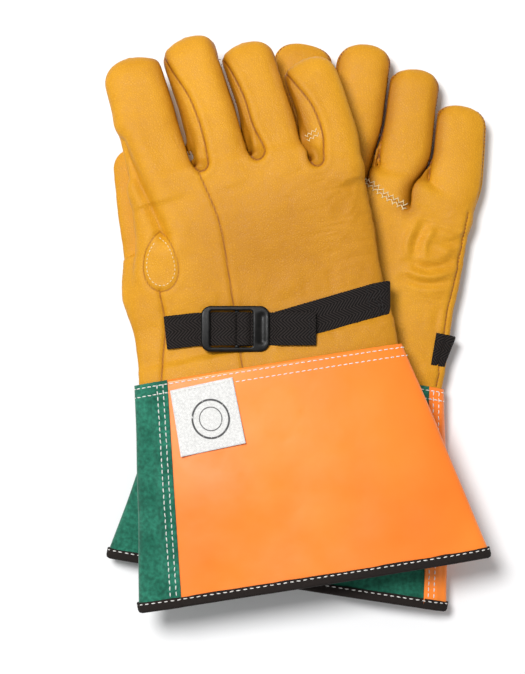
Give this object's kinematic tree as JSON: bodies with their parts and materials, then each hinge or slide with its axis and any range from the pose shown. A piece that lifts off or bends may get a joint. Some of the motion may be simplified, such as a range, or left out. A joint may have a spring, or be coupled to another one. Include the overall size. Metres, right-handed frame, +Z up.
{
  "type": "pair of leather protector gauntlets for electrical work",
  "caption": "Leather work gauntlets with flared vinyl and suede cuffs and a buckled wrist strap, one lying palm down across the other.",
  "frame": {"origin": "the resting plane under the middle of the left cuff's binding", "axes": "+Z up from the plane the pair lies on, +Y from the cuffs towards the fingertips, +X across the gloves towards the little fingers"},
  "size_m": [0.2455, 0.372, 0.0551],
  "materials": {
    "leather": "matte",
    "orange_vinyl": "satin",
    "green_suede": "matte",
    "binding_tape": "matte",
    "white_thread": "matte",
    "black_thread": "matte",
    "label_cloth": "matte",
    "black_webbing": "matte",
    "black_plastic": "satin"
  },
  "bodies": {
    "left_hand": {"left_back_panel": "leather", "left_index_side_panel": "leather", "left_palm_panel": "leather", "left_thumb_gusset": "leather", "left_cuff_back_panel": "orange_vinyl", "left_cuff_palm_panel": "green_suede", "left_cuff_binding": "binding_tape", "left_cuff_thread": "white_thread", "left_binding_thread": "white_thread", "left_strap_anchor": "black_webbing", "left_strap": "black_webbing", "left_strap_thread": "black_thread", "left_label": "label_cloth", "left_buckle": "black_plastic"},
    "left_index_finger": {"left_index_back": "leather", "left_index_front": "leather", "left_index_fourchette": "leather"},
    "left_middle_finger": {"left_middle_back": "leather", "left_middle_front": "leather", "left_middle_fourchettes": "leather"},
    "left_ring_finger": {"left_ring_back": "leather", "left_ring_front": "leather", "left_ring_fourchettes": "leather"},
    "left_little_finger": {"left_little_back": "leather", "left_little_front": "leather", "left_little_fourchette": "leather"},
    "left_thumb": {"left_thumb_back": "leather", "left_thumb_front": "leather"},
    "left_strap_tail": {"left_strap_tail": "black_webbing"},
    "right_hand": {"right_back_panel": "leather", "right_index_side_panel": "leather", "right_palm_panel": "leather", "right_thumb_gusset": "leather", "right_cuff_back_panel": "orange_vinyl", "right_cuff_palm_panel": "green_suede", "right_cuff_binding": "binding_tape", "right_cuff_thread": "white_thread", "right_binding_thread": "white_thread", "right_strap_anchor": "black_webbing", "right_strap": "black_webbing", "right_strap_thread": "black_thread"},
    "right_index_finger": {"right_index_back": "leather", "right_index_front": "leather", "right_index_fourchette": "leather"},
    "right_middle_finger": {"right_middle_back": "leather", "right_middle_front": "leather", "right_middle_fourchettes": "leather"},
    "right_ring_finger": {"right_ring_back": "leather", "right_ring_front": "leather", "right_ring_fourchettes": "leather"},
    "right_little_finger": {"right_little_back": "leather", "right_little_front": "leather", "right_little_fourchette": "leather"},
    "right_thumb": {"right_thumb_back": "leather", "right_thumb_front": "leather"},
    "right_buckle": {"right_buckle": "black_plastic"},
    "right_label": {"right_label": "label_cloth"},
    "right_strap_tail": {"right_strap_tail": "black_webbing"}
  },
  "joints": [
    {"name": "right_lift", "type": "slide", "parent": "left_hand", "child": "right_hand", "axis": [0, 0, 1], "range_m": [0, 0.12]},
    {"name": "right_index_raise", "type": "hinge", "parent": "right_hand", "child": "right_index_finger", "pos_m": [-0.07275, 0.2514, 0.053], "axis": [0.9622, 0.2723, 0], "range_deg": [0, 35]},
    {"name": "right_middle_raise", "type": "hinge", "parent": "right_hand", "child": "right_middle_finger", "pos_m": [-0.03216, 0.26003, 0.053], "axis": [0.9511, 0.309, 0], "range_deg": [0, 35]},
    {"name": "right_ring_raise", "type": "hinge", "parent": "right_hand", "child": "right_ring_finger", "pos_m": [0.00257, 0.26741, 0.053], "axis": [0.9455, 0.3256, 0], "range_deg": [0, 35]},
    {"name": "right_little_raise", "type": "hinge", "parent": "right_hand", "child": "right_little_finger", "pos_m": [0.0393, 0.26295, 0.053], "axis": [0.9511, 0.309, 0], "range_deg": [0, 35]},
    {"name": "right_thumb_swing", "type": "hinge", "parent": "right_hand", "child": "right_thumb", "pos_m": [-0.06568, 0.17725, 0.029], "axis": [0, 0, 1], "range_deg": [0, 20]},
    {"name": "right_buckle_tilt", "type": "hinge", "parent": "right_hand", "child": "right_buckle", "pos_m": [-0.04711, 0.15927, 0.0502], "axis": [0, -1, 0], "range_deg": [0, 20]},
    {"name": "right_label_flap", "type": "hinge", "parent": "right_hand", "child": "right_label", "pos_m": [-0.04886, 0.12459, 0.0546], "axis": [-0.9781, -0.2079, 0], "range_deg": [0, 110]},
    {"name": "right_tail_slide", "type": "slide", "parent": "right_buckle", "child": "right_strap_tail", "axis": [1, 0, 0], "range_m": [0, 0.02]},
    {"name": "left_index_curl", "type": "hinge", "parent": "left_hand", "child": "left_index_finger", "pos_m": [0.00487, 0.2666, 0.02087], "axis": [0.9871, -0.1599, 0], "range_deg": [0, 4]},
    {"name": "left_middle_curl", "type": "hinge", "parent": "left_hand", "child": "left_middle_finger", "pos_m": [0.04574, 0.2594, 0.02087], "axis": [0.9903, -0.1392, 0], "range_deg": [0, 5]},
    {"name": "left_ring_curl", "type": "hinge", "parent": "left_hand", "child": "left_ring_finger", "pos_m": [0.0807, 0.25323, 0.02087], "axis": [0.9925, -0.1219, 0], "range_deg": [0, 70]},
    {"name": "left_little_curl", "type": "hinge", "parent": "left_hand", "child": "left_little_finger", "pos_m": [0.11308, 0.23534, 0.02087], "axis": [0.9945, -0.1045, 0], "range_deg": [0, 70]},
    {"name": "left_thumb_swing", "type": "hinge", "parent": "left_hand", "child": "left_thumb", "pos_m": [-0.01635, 0.1952, 0.02487], "axis": [0, 0, 1], "range_deg": [0, 20]},
    {"name": "left_tail_slide", "type": "slide", "parent": "left_hand", "child": "left_strap_tail", "axis": [0.9272, -0.3746, 0], "range_m": [0, 0.02]}
  ]
}
